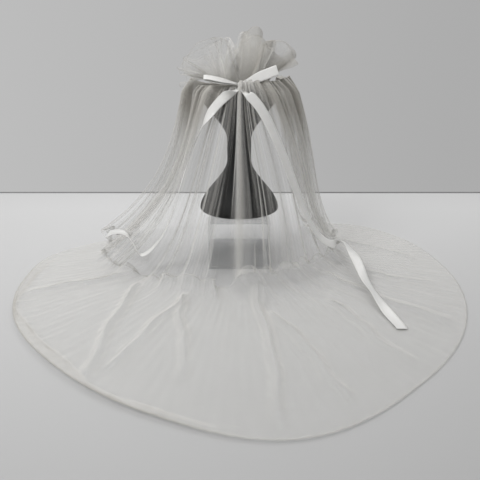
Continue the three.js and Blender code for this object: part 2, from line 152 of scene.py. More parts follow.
links.new(cloud.outputs["Fac"], tint.inputs["Factor"])
links.new(tint.outputs["Result"], shader.inputs["Base Color"])
links.new(slant.outputs["Fresnel"], solid.inputs["Value"])
links.new(solid.outputs["Result"], shader.inputs["Alpha"])

polished = acrylic.copy()
polished.name = "polished_acrylic_edge"
polished.node_tree.nodes["Principled BSDF"].inputs["Alpha"].default_value = 0.45
polished.node_tree.links.remove(polished.node_tree.nodes["Principled BSDF"].inputs["Alpha"].links[0])

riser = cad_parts["display_riser"].copy()
riser.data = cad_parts["display_riser"].data.copy()
riser.name = "clear_riser"
bpy.context.scene.collection.objects.link(riser)
for other in list(bpy.context.selected_objects):
    other.select_set(False)
riser.select_set(True)
bpy.context.view_layer.objects.active = riser
bpy.ops.object.mode_set(mode="EDIT")
bpy.ops.mesh.select_all(action="SELECT")
bpy.ops.mesh.remove_doubles(threshold=0.00001)
bpy.ops.mesh.dissolve_limited(angle_limit=0.01)
bpy.ops.object.mode_set(mode="OBJECT")
riser.data.materials.clear()
riser.data.materials.append(acrylic)
riser.data.materials.append(polished)
bevel = riser.modifiers.new("polished_edges", "BEVEL")
bevel.width = 0.0007
bevel.segments = 2
bevel.material = 1
bpy.ops.object.modifier_apply(modifier="polished_edges")
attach(riser, "root")
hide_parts("display_riser")

# The display stand: a hollow plastic turning, two equal bells foot to foot at a narrow waist, painted matt
# black. Its rims are rolled a little and its flat top takes the veil's heading.
foot_z, stand_height = 122.3, 303.0
rim_radius, waist_radius, flare_share, rim_roll = 101.0, 30.0, 0.84, 1.6


def add_mesh(name, points, quads, material):
    """A piece from an array of points in millimetres and one of quads, at the origin, riding the root."""
    mesh = bpy.data.meshes.new(name)
    mesh.from_pydata((points * 0.001).tolist(), [], quads.tolist())
    mesh.polygons.foreach_set("use_smooth", np.ones(len(quads), bool))
    mesh.materials.append(material)
    piece = bpy.data.objects.new(name, mesh)
    bpy.context.scene.collection.objects.link(piece)
    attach(piece, "root")
    return piece


def ease(x, low, high):
    """0 below low, 1 above high and a smooth cubic step between them."""
    t = np.clip((x - low) / (high - low), 0, 1)
    return t * t * (3 - 2 * t)


black = bpy.data.materials.new("matt_black_paint")
black.use_nodes = True
nodes, links = black.node_tree.nodes, black.node_tree.links
shader = nodes["Principled BSDF"]
place = nodes.new("ShaderNodeTexCoord")
shader.inputs["Specular IOR Level"].default_value = 0.3
grain = nodes.new("ShaderNodeTexNoise")
grain.inputs["Scale"].default_value = 900
grain.inputs["Detail"].default_value = 3
handling = nodes.new("ShaderNodeTexNoise")
handling.inputs["Scale"].default_value = 22
handling.inputs["Detail"].default_value = 5
shine = nodes.new("ShaderNodeMapRange")
shine.inputs["To Min"].default_value, shine.inputs["To Max"].default_value = 0.5, 0.72
dust = nodes.new("ShaderNodeMix")
dust.data_type = "RGBA"
dust.inputs["A"].default_value = (0.007, 0.0075, 0.0075, 1)
dust.inputs["B"].default_value = (0.013, 0.0135, 0.0135, 1)
relief = nodes.new("ShaderNodeBump")
relief.inputs["Strength"].default_value = 0.15
relief.inputs["Distance"].default_value = 0.0004
links.new(place.outputs["Object"], grain.inputs["Vector"])
links.new(place.outputs["Object"], handling.inputs["Vector"])
links.new(handling.outputs["Fac"], shine.inputs["Value"])
links.new(handling.outputs["Fac"], dust.inputs["Factor"])
links.new(dust.outputs["Result"], shader.inputs["Base Color"])
links.new(shine.outputs["Result"], shader.inputs["Roughness"])
links.new(grain.outputs["Fac"], relief.inputs["Height"])
links.new(relief.outputs["Normal"], shader.inputs["Normal"])

share = np.linspace(0, 2, 121)
bell = rim_radius + (waist_radius - rim_radius) * ease(1 - np.abs(1 - share), 0, flare_share)
bell_z = foot_z + stand_height / 2 * share
roll = np.array([0.0, 0.35, 0.7, 0.92, 1.0])
rim = rim_radius - rim_roll + rim_roll * roll
lift = rim_roll * (1 - np.sqrt(1 - roll**2))
profile_r = np.concatenate([[60], rim, bell[3:-3], rim[::-1], [60]])
profile_z = np.concatenate(
    [[foot_z], foot_z + lift, bell_z[3:-3], (foot_z + stand_height - lift)[::-1], [foot_z + stand_height]]
)
turns = 144
angle = np.linspace(0, 2 * np.pi, turns, endpoint=False)
points = np.stack(
    [
        profile_r[:, None] * np.cos(angle),
        profile_r[:, None] * np.sin(angle),
        np.broadcast_to(profile_z[:, None], (len(profile_r), turns)),
    ],
    axis=-1,
).reshape(-1, 3)
row, column = np.meshgrid(np.arange(len(profile_r) - 1), np.arange(turns), indexing="ij")
following = (column + 1) % turns
low_row, high_row = row * turns, (row + 1) * turns
quads = [low_row + column, low_row + following, high_row + following, high_row + column]
quads = np.stack(quads, axis=-1).reshape(-1, 4)
last = (len(profile_r) - 1) * turns
ring = np.arange(0, turns, 2)
below = np.stack([np.full(len(ring), len(points)), (ring + 2) % turns, ring + 1, ring], axis=-1)
top_centre = np.full(len(ring), len(points) + 1)
above = np.stack([top_centre, last + ring, last + ring + 1, last + (ring + 2) % turns], axis=-1)
points = np.concatenate([points, [[0, 0, foot_z], [0, 0, foot_z + stand_height]]])
stand = add_mesh("black_stand", points, np.concatenate([quads, below, above]), black)
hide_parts("display_stand")

# The tulle: ivory illusion net of fine nylon, hexagons 1.2 mm wide. Faced squarely it is a faint haze, and
# where it turns edge on, as on a fold, its threads close up and it shows white. Each wall here is two skins,
# 0.4 mm apart.
net_pitch = 0.0012
thread_cover, haze_cover = 0.27, 0.03

tulle = bpy.data.materials.new("illusion_tulle")
tulle.use_nodes = True
nodes, links = tulle.node_tree.nodes, tulle.node_tree.links
shader = nodes["Principled BSDF"]
shader.inputs["Roughness"].default_value = 0.8
shader.inputs["Specular IOR Level"].default_value = 0.25
shader.inputs["Sheen Weight"].default_value = 0.15
weave = nodes.new("ShaderNodeUVMap")
weave.uv_map = "cloth"
hexes = nodes.new("ShaderNodeTexVoronoi")
hexes.feature = "DISTANCE_TO_EDGE"
hexes.voronoi_dimensions = "2D"
hexes.inputs["Scale"].default_value = 1 / net_pitch
hexes.inputs["Randomness"].default_value = 0.35
thread = nodes.new("ShaderNodeMapRange")
thread.inputs["From Min"].default_value, thread.inputs["From Max"].default_value = 0.04, 0.16
thread.inputs["To Min"].default_value, thread.inputs["To Max"].default_value = thread_cover, haze_cover
dense = nodes.new("ShaderNodeAttribute")
dense.attribute_name = "dense"
cover = nodes.new("ShaderNodeMath")
cover.operation = "MULTIPLY"
slant = nodes.new("ShaderNodeLayerWeight")
slant.inputs["Blend"].default_value = 0.5
square_on = nodes.new("ShaderNodeMath")
square_on.operation = "SUBTRACT"
square_on.inputs[0].default_value = 1.06
crossing = nodes.new("ShaderNodeMath")
crossing.operation = "DIVIDE"
limit = nodes.new("ShaderNodeMath")
limit.operation = "MINIMUM"
limit.inputs[1].default_value = 0.8
ivory = nodes.new("ShaderNodeMix")
ivory.data_type = "RGBA"
ivory.inputs["A"].default_value = (0.74, 0.73, 0.70, 1)
ivory.inputs["B"].default_value = (0.80, 0.79, 0.765, 1)
drift = nodes.new("ShaderNodeTexNoise")
drift.inputs["Scale"].default_value = 14
links.new(weave.outputs["UV"], hexes.inputs["Vector"])
links.new(weave.outputs["UV"], drift.inputs["Vector"])
links.new(hexes.outputs["Distance"], thread.inputs["Value"])
links.new(thread.outputs["Result"], cover.inputs[0])
links.new(dense.outputs["Fac"], cover.inputs[1])
links.new(slant.outputs["Facing"], square_on.inputs[1])
links.new(cover.outputs["Value"], crossing.inputs[0])
sharper = nodes.new("ShaderNodeMath")
sharper.operation = "POWER"
sharper.inputs[1].default_value = 1.35
links.new(square_on.outputs["Value"], sharper.inputs[0])
links.new(sharper.outputs["Value"], crossing.inputs[1])
links.new(crossing.outputs["Value"], limit.inputs[0])
links.new(limit.outputs["Value"], shader.inputs["Alpha"])
links.new(drift.outputs["Fac"], ivory.inputs["Factor"])
# Where the tulle lies in many layers, its colour goes towards a darker brownish grey: painted shade between
# the layers.
layers = nodes.new("ShaderNodeMapRange")
layers.inputs["From Min"].default_value, layers.inputs["From Max"].default_value = 1.2, 4
painted_layer_shade = nodes.new("ShaderNodeMix")
painted_layer_shade.data_type = "RGBA"
painted_layer_shade.inputs["B"].default_value = (0.59, 0.57, 0.53, 1)
links.new(dense.outputs["Fac"], layers.inputs["Value"])
links.new(layers.outputs["Result"], painted_layer_shade.inputs["Factor"])
links.new(ivory.outputs["Result"], painted_layer_shade.inputs["A"])
links.new(painted_layer_shade.outputs["Result"], shader.inputs["Base Color"])


def cloth_skins(sheet, thickness):
    """The sheet's points moved half the thickness along the normal to each side; normals are the cross
    product of the differences across and down the grid."""
    across = np.gradient(sheet, axis=1)
    down = np.gradient(sheet, axis=0)
    normal = np.cross(across, down)
    normal /= np.maximum(np.linalg.norm(normal, axis=-1, keepdims=True), 1e-9)
    return sheet + normal * thickness / 2, sheet - normal * thickness / 2


def cloth_uv(sheet):
    """Lengths along the grid in metres: down each column, and across along the row from its middle."""
    across = np.linalg.norm(np.diff(sheet, axis=1), axis=-1)
    down = np.linalg.norm(np.diff(sheet, axis=0), axis=-1)
    u = np.concatenate([np.zeros((len(sheet), 1)), np.cumsum(across, axis=1)], axis=1)
    v = np.concatenate([np.zeros((1, sheet.shape[1])), np.cumsum(down, axis=0)], axis=0)
    return np.stack([u - u[:, [u.shape[1] // 2]], v], axis=-1) * 0.001


def cloth_piece(name, skins, uv, dense):
    """A closed wall of cloth from its two skins: quads on both, and a strip along each of the four edges."""
    front, back = skins
    rows, columns = front.shape[:2]
    count = rows * columns
    grid = np.arange(count).reshape(rows, columns)
    face = np.stack([grid[:-1, :-1], grid[:-1, 1:], grid[1:, 1:], grid[1:, :-1]], axis=-1).reshape(-1, 4)
    quads = [face, face[:, ::-1] + count]
    for line in (grid[:, 0], grid[-1], grid[:, -1][::-1], grid[0][::-1]):
        quads.append(np.stack([line[:-1], line[1:], line[1:] + count, line[:-1] + count], axis=-1))
    faces = np.concatenate(quads)
    piece = add_mesh(name, np.concatenate([front.reshape(-1, 3), back.reshape(-1, 3)]), faces, tulle)
    both = np.concatenate([uv.reshape(-1, 2)] * 2)
    piece.data.uv_layers.new(name="cloth").data.foreach_set("uv", both[faces.reshape(-1)].reshape(-1))
    # The dense attribute counts the layers of net: the tulle reads it for coverage, and for painted shade
    # where layers bunch.
    thick = np.concatenate([dense.reshape(-1)] * 2)
    piece.data.attributes.new("dense", "FLOAT", "POINT").data.foreach_set("value", thick)
    return piece


def meander(swing):
    """Folds of a cloth whose course swings by the angle `swing` at each step: the running sum of the cosines
    is how far it gets across, from 0 to 1, and that of the sines is how far it stands out, in the same
    measure and levelled so that both ends are at 0."""
    across = np.cumsum(np.cos(swing), axis=-1)
    out = np.cumsum(np.sin(swing), axis=-1)
    reach = across[..., -1:]
    across = (across - across[..., :1]) / (reach - across[..., :1])
    out = (out - out[..., :1]) / reach
    out = out - across * out[..., -1:]
    return across, out


def read_table(table, key, column, at):
    """The column at the key's value: a cubic through the table's rows, with their neighbours' slopes."""
    x, y = np.array(table[key], float), np.array(table[column], float)
    slope = np.gradient(y, x)
    at = np.clip(at, x[0], x[-1])
    i = np.clip(np.searchsorted(x, at, side="right") - 1, 0, len(x) - 2)
    span = x[i + 1] - x[i]
    t = (at - x[i]) / span
    return (
        (2 * t**3 - 3 * t**2 + 1) * y[i]
        + (t**3 - 2 * t**2 + t) * slope[i] * span
        + (3 * t**2 - 2 * t**3) * y[i + 1]
        + (t**3 - t**2) * slope[i + 1] * span
    )


# The heading: the panel's top edge, bunched up and stitched into a rounded, curved bar that lies on the
# stand's rim. It is all folds, so it is nearly opaque, and its tulle takes the full painted shade of many
# layers.
heading_radius, heading_z = 86.0, 434.1
heading_half_depth, heading_half_height, heading_half_bearing = 5.3, 8.3, 56.0

around, along = 28, 361
bearing = np.radians(np.linspace(-heading_half_bearing, heading_half_bearing, along))
section = np.linspace(0, 2 * np.pi, around + 1)
from_end = np.minimum(np.arange(along), along - 1 - np.arange(along)) / (along - 1)
fullness = 0.5 + 0.5 * ease(from_end, 0, 0.1)
bunch = 1 - 0.09 * (1 + np.cos(np.degrees(bearing) * 4.4 + 1.4 * np.sin(np.degrees(bearing) * 0.31)))
radius = heading_radius + heading_half_depth * fullness * bunch * np.cos(section)[:, None]
height = heading_z + heading_half_height * fullness * bunch * np.sin(section)[:, None]
points = np.stack([radius * np.sin(bearing), -radius * np.cos(bearing), height + 0 * radius], axis=-1)
middle = points[:-1].mean(axis=0)
count = around * along
grid = np.arange(count).reshape(around, along)
wrapped = np.concatenate([grid, grid[:1]])
quads = [wrapped[:-1, :-1], wrapped[:-1, 1:], wrapped[1:, 1:], wrapped[1:, :-1]]
quads = np.stack(quads, axis=-1).reshape(-1, 4)
caps = np.full((2, around // 2), count) + [[0], [1]]
left_end = np.stack([wrapped[:-1:2, 0], wrapped[1::2, 0], wrapped[2::2, 0], caps[0]], axis=-1)
right_end = np.stack([wrapped[2::2, -1], wrapped[1::2, -1], wrapped[:-1:2, -1], caps[1]], axis=-1)
ends = np.concatenate([left_end, right_end])
points = np.concatenate([points[:-1].reshape(-1, 3), middle[[0, -1]]])
heading = add_mesh("bunched_heading", points, np.concatenate([quads, ends]), tulle)
flat = np.arange(count + along).reshape(around + 1, along)
corners = np.stack([flat[:-1, :-1], flat[:-1, 1:], flat[1:, 1:], flat[1:, :-1]], axis=-1).reshape(-1)
place = np.stack([bearing * 0.43 + 0 * height, section[:, None] * 0.007 + 0 * height], axis=-1).reshape(-1, 2)
place = np.concatenate([place[corners], np.zeros((4 * len(ends), 2))])
heading.data.uv_layers.new(name="cloth").data.foreach_set("uv", place.reshape(-1))
heading.data.attributes.new("dense", "FLOAT", "POINT").data.foreach_set("value", np.full(count + 2, 9.0))
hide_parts("gathered_heading")

# The veil's panel: one oval of tulle. It leaves the heading in deep gathers, crosses the stand's rim, falls
# as a tent that stands out furthest on the left, and lies on the floor as a train. Its side edges are at the
# back.
skirt = {
    "bearing": [-112, -100, -86, -70, -52, -32, -12, 6, 28, 52, 79, 101, 124, 134],
    "foot": [306, 340, 352, 322, 278, 246, 232, 228, 229, 236, 244, 250, 256, 258],
    "hem": [322, 378, 486, 542, 595, 640, 696, 742, 672, 600, 520, 462, 368, 288],
    "flare": [1, 1, 0.95, 0.7, 0.35, 0.1, 0, 0, 0, 0.05, 0.1, 0.1, 0.15, 0.2],
}
left_bearing, right_bearing, fan = -112.0, 134.0, 22.0
gather_radius, gather_z = 92.6, 437.1
crest_radius, crest_z, rim_z = 102.1, 426.4, 423.8

columns, drop_rows, train_rows = 720, 64, 66
t = np.linspace(0, 1, columns)
at_rim = left_bearing + (right_bearing - left_bearing) * t

fold_count, broad_count = 30, 11
phase = 2 * np.pi * fold_count * t + 2.1 * np.sin(2 * np.pi * 2.9 * t + 0.6)
phase += 1.5 * np.sin(2 * np.pi * 6.7 * t + 2.2)
phase += 0.9 * np.sin(2 * np.pi * 12.3 * t + 4.0)
broad_phase = 2 * np.pi * broad_count * t + 1.2 * np.sin(2 * np.pi * 3.3 * t + 1.0)
unevenness = 0.86 + 0.2 * np.sin(2 * np.pi * 8.1 * t + 0.4) + 0.16 * np.sin(2 * np.pi * 13.7 * t + 1.9)

front = {
    "bearing": [-112, -40, -24, -17, -11, -6, 0, 5, 9, 13, 18, 30, 134],
    "depth": [1.05, 1.05, 1.1, 0.9, 0.35, 1.25, 1.45, 1.25, 0.5, 0.5, 1.1, 1.05, 1.0],
}
depth = unevenness * np.interp(at_rim, front["bearing"], front["depth"])

# Rows of the fall, from the heading to the floor
row_share = np.linspace(0, 1, drop_rows)
shoulder = np.clip(row_share / 0.09, 0, 1)[:, None]
drop = np.clip((row_share - 0.09) / 0.91, 0, 1)[:, None]
swing = (1.86 - 0.66 * ease(drop, 0.1, 1)) * np.clip(depth, 0.2, 1.1)
swing = swing * np.sin(phase + 0.5 * drop * np.sin(9 * t))
swing = swing + 0.5 * ease(drop, 0.2, 1) * np.sin(broad_phase + 0.4 * drop)
x_hat, stand_out = meander(swing)

bearing_rim = left_bearing + (right_bearing - left_bearing) * x_hat
widest = max(-left_bearing, right_bearing)
gathered = (heading_half_bearing + 4) * np.abs(bearing_rim / widest) ** 1.4 * np.sign(bearing_rim)
limit_bearing = np.where(bearing_rim < 0, left_bearing, right_bearing)
on_floor = bearing_rim + fan * np.sin(np.pi * np.abs(bearing_rim / limit_bearing)) * np.sign(bearing_rim)
bearing = gathered + (bearing_rim - gathered) * shoulder
bearing = bearing + (on_floor - bearing_rim) * (1 - (1 - drop) ** 3)
bearing = bearing * (1 - 0.6 * np.exp(-((bearing / 36) ** 2)) * shoulder * (1 - ease(drop, 0, 0.6)))

rim_at_fall = bearing_rim
foot = read_table(skirt, "bearing", "foot", bearing)
flare = read_table(skirt, "bearing", "flare", bearing)
s = 1 - drop
radii = [102.8 + 0 * foot, 140 - 34 * flare, foot - 52 - 62 * flare, foot]
heights = [rim_z + 0 * foot, 236 + 10 * flare, 0.6 + 99.4 * flare, 0.6 + 0 * foot]
weights = [s**3, 3 * s * s * drop, 3 * s * drop**2, drop**3]
slopes = [-3 * s * s, 3 * s * s - 6 * s * drop, 6 * s * drop - 3 * drop**2, 3 * drop**2]
radius = sum(a * w for a, w in zip(radii, weights))
height = sum(a * w for a, w in zip(heights, weights))
slope_r = sum(a * w for a, w in zip(radii, slopes))
slope_z = sum(a * w for a, w in zip(heights, slopes))
steep = np.hypot(slope_r, slope_z)
out_r, out_z = -slope_z / steep, slope_r / steep

on_shoulder = shoulder < 1
radius = np.where(on_shoulder, gather_radius + (crest_radius - gather_radius) * shoulder, radius)
height = np.where(on_shoulder, gather_z + (crest_z - gather_z) * shoulder**1.5, height)
out_r = np.where(on_shoulder, 0.65, out_r)
out_z = np.where(on_shoulder, 0.76, out_z)

row_length = np.radians(bearing[:, -1:] - bearing[:, :1]) * radius.mean(axis=1, keepdims=True)
stand_out = stand_out * row_length
stand_out = stand_out - stand_out.min(axis=1, keepdims=True) * (1 - 0.25 * ease(drop, 0.1, 0.6))
stand_out = np.maximum(stand_out, -6)
stand_out = stand_out * (0.3 + 0.7 * ease(row_share[:, None], 0, 0.12))
angle = np.radians(bearing)
radius_out = radius + out_r * stand_out
height_out = np.maximum(height + out_z * stand_out, 0.5)
fall_points = np.stack([radius_out * np.sin(angle), -radius_out * np.cos(angle), height_out], axis=-1)

# Rows of the train, from the floor's first touch to the hem
out = (np.arange(1, train_rows + 1) / train_rows)[:, None]
calm = np.exp(-out * 3.2)
swing = (1.1 * calm) * np.clip(depth, 0.2, 1.25) * np.sin(phase + 0.5 * np.sin(9 * t))
swing = swing + 0.5 * np.exp(-out * 1.3) * np.sin(broad_phase + 0.4 + 0.5 * out)
x_hat, stand_out = meander(swing)
bearing_rim = left_bearing + (right_bearing - left_bearing) * x_hat
limit_bearing = np.where(bearing_rim < 0, left_bearing, right_bearing)
bearing = bearing_rim + fan * np.sin(np.pi * np.abs(bearing_rim / limit_bearing)) * np.sign(bearing_rim)
foot = read_table(skirt, "bearing", "foot", bearing)
hem = read_table(skirt, "bearing", "hem", bearing)
radius = foot + (hem - foot) * out
row_length = np.radians(bearing[:, -1:] - bearing[:, :1]) * radius.mean(axis=1, keepdims=True)
stand_out = stand_out * row_length
stand_out = (stand_out - stand_out.min(axis=1, keepdims=True)) * (0.22 + 0.78 * np.exp(-out * 6))
angle = np.radians(bearing)
x, y = radius * np.sin(angle), -radius * np.cos(angle)
z = 0.6 + stand_out * (1 - 0.75 * ease(out, 0.0, 0.25))

# The train's broad folds: ridges from one place on the floor to another. Each is a denser band with two dense
# edges.
ridges = {
    "from_x": [-240, -243, -119, -125, 43, 73, 198, 196, 300, 250],
    "from_y": [-158, -214, -289, -280, -251, -360, -303, -190, -150, 90],
    "to_x": [-478, -268, -237, -98, 68, 181, 309, 425, 452, 447],
    "to_y": [-262, -598, -550, -590, -700, -630, -530, -392, -212, -60],
    "height": [14, 12, 9, 8, 12, 11, 8, 15, 8, 9],
    "half_width": [15, 10, 10, 9, 10, 10, 11, 20, 11, 13],
}
inside = ease(radius, foot, foot + 60) * ease(hem - radius, 0, 40)
laid = 0 * z
for i in range(len(ridges["from_x"])):
    start = np.array([ridges["from_x"][i], ridges["from_y"][i]], float)
    course = np.array([ridges["to_x"][i], ridges["to_y"][i]], float) - start
    length = np.hypot(*course)
    course = course / length
    along = ((x - start[0]) * course[0] + (y - start[1]) * course[1]) / length
    wander = 5 * np.sin(along * 7 + i) + 2.2 * np.sin(along * 17 + 2 * i)
    off = (x - start[0]) * -course[1] + (y - start[1]) * course[0] - wander
    taper = (1 - 0.5 * np.clip(along, 0, 1)) * ease(along, -0.08, 0.08) * ease(1.05 - along, 0, 0.12)
    width = ridges["half_width"][i]
    crest = np.exp(-((off / width) ** 2)) * taper * inside
    pull = -0.82 * off * crest
    x, y = x - pull * course[1], y + pull * course[0]
    z = z + ridges["height"][i] * crest
    laid = laid + 0.16 * np.exp(-((off / width / 1.6) ** 4)) * taper * inside
    laid = laid + 0.7 * np.exp(-(((np.abs(off) - 1.4 * width) / 2.2) ** 2)) * taper * inside

wrinkle = np.sin(bearing * 1.9 + 3 * out) * np.sin(bearing * 0.53 + 7 * out)
wrinkle += 0.7 * np.sin(bearing * 3.1 - 5 * out + 1)
z = z + 0.55 * (1 + wrinkle) * ease(out, 0.03, 0.2)
lift = (0.4 + 8 * np.exp(-(((bearing + 32) / 36) ** 2))) * ease(out, 0.85, 1)
z = z + lift
train_points = np.stack([x, y, z], axis=-1)

sheet = np.concatenate([fall_points, train_points])
skins = cloth_skins(sheet, 0.4)
uv = cloth_uv(sheet)
from_hem = np.linalg.norm(sheet[-1:] - sheet, axis=-1)
# How thick the fall's folds lie at each bearing on the rim. In front are two nearly bare gaps.
thick = {
    "bearing": [-112, -60, -40, -28, -20, -14, -12.4, -11.6, -4.8, -4.2, -1.6]
    + [1.2, 6.2, 6.8, 9.2, 10, 14, 20, 28, 40, 60, 134],
    "folds": [0.8, 1.0, 1.1, 1.4, 1.9, 2.6, 2.4, 0.05, 0.05, 2.8, 1.8]
    + [2.8, 2.4, 0.3, 0.3, 2.6, 1.2, 2.2, 1.2, 1.0, 0.9, 0.7],
}
folds = np.interp(rim_at_fall, thick["bearing"], thick["folds"])
sparse = ease(drop, 0.02, 0.3)
streak = 0.7 + 0.35 * np.sin(phase * 2.3 + 1) + 0.3 * np.sin(phase * 5.1 + 2 * np.sin(phase * 0.31))
turned = ease(bearing, -88, -70) * ease(-bearing, -4, 14)
turned_width = 17 + 9 * np.sin(np.radians(bearing) * 9 + 1) + 4 * np.sin(np.radians(bearing) * 21)
dense = 0.72 + 0.9 * (from_hem < 3.0)
dense[drop_rows:] += laid + 0.75 * (streak - 0.8) * np.exp(-out * 7)
dense[drop_rows:] += turned * (0.8 * (from_hem[drop_rows:] < turned_width) + 1.5 * (from_hem[drop_rows:] < 5))
dense[drop_rows:] += turned * 1.8 * np.exp(-(((from_hem[drop_rows:] - turned_width) / 3) ** 2))
beside = ease(np.abs(rim_at_fall), 22, 46)
sparse = 1 - beside * (1 - sparse)
folds = 1 + (folds - 1) * sparse * (1 - 0.55 * ease(drop, 0.55, 0.85))
dense[:drop_rows] = folds * streak * (0.8 + 0.3 * beside - 0.2 * drop)
dense[:drop_rows] += (0.4 + 8.8 * beside) * np.exp(-drop / 0.09)
fall = cloth_piece("veil_fall_cloth", [k[:drop_rows] for k in skins], uv[:drop_rows], dense[:drop_rows])
joint = drop_rows - 1
train = cloth_piece("veil_train_cloth", [k[joint:] for k in skins], uv[joint:], dense[joint:])
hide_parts("veil_fall")
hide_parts("veil_train")

# The pouf: four ruffles of the same tulle, sewn to the heading and standing up from it in deep uneven flutes.
# The front one leans forward and each of the others leans further back. Angles run from the right, over the
# top, to the left.
pouf_edge = {
    "angle": [-10, 10, 17, 24, 41, 58, 64, 77, 86, 97, 103, 111, 128, 150, 159, 176, 189, 200],
    "reach": [100, 138, 147, 145, 140, 112, 121, 122, 96, 74, 88, 112, 119, 134, 138, 127, 130, 124],
}
layers_seen = {
    "angle": [20, 60, 70, 84, 95, 112, 140, 165, 180],
    "dense": [3.2, 2.9, 2.6, 2.4, 1.6, 0.5, 0.6, 1.0, 1.3],
}
ruffles = {
    "node": ["pouf_ruffle_front", "pouf_ruffle_second", "pouf_ruffle_third", "pouf_ruffle_back"],
    "radius": [89.2, 87, 84.8, 82],
    "lean": [14, -6, -27, -50],
    "arch": [30, 24, 14, 8],
    "share": [0.94, 1, 0.96, 0.82],
    "start": [20, 17, 18, 24],
    "end": [183, 176, 172, 166],
    "waves": [5, 6, 5, 4],
    "phase": [0.2, 0.65, 0.1, 0.4],
    "cut_width": [0.58, 0.58, 0.53, 0.44],
    "cut_length": [0.09, 0.09, 0.085, 0.09],
    "cut_area": [0.0304, 0.0298, 0.0262, 0.0204],
}
for k, node in enumerate(ruffles["node"]):
    rows, columns = 30, 360
    out = np.linspace(0, 1, rows)[:, None]
    t = np.linspace(0, 1, columns)
    waves, phase = ruffles["waves"][k], ruffles["phase"][k] * 2 * np.pi
    wave = 2 * np.pi * waves * t + phase + 1.3 * np.sin(2 * np.pi * 2.3 * t + k)
    wave += 0.8 * np.sin(2 * np.pi * 4.9 * t + 2 * k)
    swing = (1.85 - 0.35 * out) * np.sin(wave + 0.5 * out) * (0.85 + 0.25 * np.sin(11 * t + k))
    swing = swing + 0.35 * out * np.sin(2 * np.pi * waves * 2.7 * t + k)
    x_hat, stand_out = meander(swing)
    turn = ruffles["end"][k] + (ruffles["start"][k] - ruffles["end"][k]) * x_hat
    side = np.cos(np.radians(turn))
    bearing = np.radians(heading_half_bearing * 0.92 * side)
    turn = turn + 11 * out * np.sin(wave * 0.5 + 1.7 * k) * np.sin(np.pi * t)
    side, top = np.cos(np.radians(turn)), np.sin(np.radians(turn))
    lean = np.radians(ruffles["lean"][k])
    round_top = math.sqrt(1 - ((ruffles["radius"][k] - heading_radius) / 5.5) ** 2)
    arch = ruffles["arch"][k] * side**2 * (0.6 * np.sin(np.pi * out) - 0.5 * out**2)
    foot = np.stack(
        [
            ruffles["radius"][k] * np.sin(bearing),
            -ruffles["radius"][k] * np.cos(bearing),
            heading_z + 8.5 * round_top + 1 + arch,
        ],
        axis=-1,
    )
    forward = np.stack([np.sin(bearing), -np.cos(bearing), 0 * bearing], axis=-1)
    reach = read_table(pouf_edge, "angle", "reach", turn) * ruffles["share"][k]
    reach = reach * (1 + 0.05 * np.sin(wave * 0.5 + k))
    aim = np.stack([reach * side - foot[..., 0], 0 * reach, 437 + reach * top - foot[..., 2]], axis=-1)
    length = np.linalg.norm(aim, axis=-1, keepdims=True)
    ray = aim + forward * length * math.tan(lean) * 0.8
    normal = forward * np.cos(lean) - aim / length * np.sin(lean)
    arc = np.radians(ruffles["end"][k] - ruffles["start"][k]) * (18 + 105 * out)
    stand_out = stand_out * arc * 0.8
    stand_out = np.clip(stand_out - np.median(stand_out, axis=1, keepdims=True), -20, 20)
    sheet = foot + ray * out[..., None] + normal * stand_out[..., None]
    # How many layers the ruffle shows, rising and falling across the flutes; where it is high the tulle is
    # more opaque and darker with painted shade.
    body = np.interp(turn, layers_seen["angle"], layers_seen["dense"])
    dense = 2.2 * (1 - out) ** 1.5 + body * (0.7 + 0.55 * np.cos(wave * 1.5 + 1.2 + k)) + 2.5 * (out > 0.97)
    ruffle = cloth_piece(node + "_cloth", cloth_skins(sheet, 0.4), cloth_uv(sheet), dense)
    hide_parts(node)

# The ribbon: 22 mm double-faced satin, one length tied in a bow in front of the heading. Satin shines along
# its weft, so it is white where it faces the light and pearl grey where it turns.
satin = bpy.data.materials.new("ivory_satin")
satin.use_nodes = True
nodes, links = satin.node_tree.nodes, satin.node_tree.links
shader = nodes["Principled BSDF"]
shader.inputs["Roughness"].default_value = 0.3
shader.inputs["Anisotropic"].default_value = 0.6
shader.inputs["Coat Weight"].default_value = 0.35
shader.inputs["Coat Roughness"].default_value = 0.25
shader.inputs["Sheen Weight"].default_value = 0.3
weave = nodes.new("ShaderNodeUVMap")
weave.uv_map = "ribbon"
ribs = nodes.new("ShaderNodeTexWave")
ribs.inputs["Scale"].default_value = 420
ribs.inputs["Distortion"].default_value = 1.5
slubs = nodes.new("ShaderNodeTexNoise")
slubs.inputs["Scale"].default_value = 60
pearl = nodes.new("ShaderNodeMix")
pearl.data_type = "RGBA"
pearl.inputs["A"].default_value = (0.80, 0.795, 0.775, 1)
pearl.inputs["B"].default_value = (0.88, 0.875, 0.855, 1)
relief = nodes.new("ShaderNodeBump")
relief.inputs["Strength"].default_value = 0.12
relief.inputs["Distance"].default_value = 0.0002
links.new(weave.outputs["UV"], ribs.inputs["Vector"])
links.new(weave.outputs["UV"], slubs.inputs["Vector"])
links.new(slubs.outputs["Fac"], pearl.inputs["Factor"])
links.new(pearl.outputs["Result"], shader.inputs["Base Color"])
links.new(ribs.outputs["Fac"], relief.inputs["Height"])
links.new(relief.outputs["Normal"], shader.inputs["Normal"])

ribbon_width = 22.0
knot = np.array([2.0, -98.4, 441.0])


def smooth_route(route, count):
    """Points evenly spaced by length on a cubic through the route's points, taken twice to even them out."""
    route = np.array(route, float)
    for _ in range(2):
        steps = np.linalg.norm(np.diff(route[:, :3], axis=0), axis=1)
        at = np.concatenate([[0], np.cumsum(steps)])
        table = {"at": at}
        wanted = np.linspace(0, at[-1], count)
        for c in range(route.shape[1]):
            table["value"] = route[:, c]
            column = read_table(table, "at", "value", wanted)[:, None]
            fresh = column if c == 0 else np.concatenate([fresh, column], axis=1)
        route = fresh
    return route


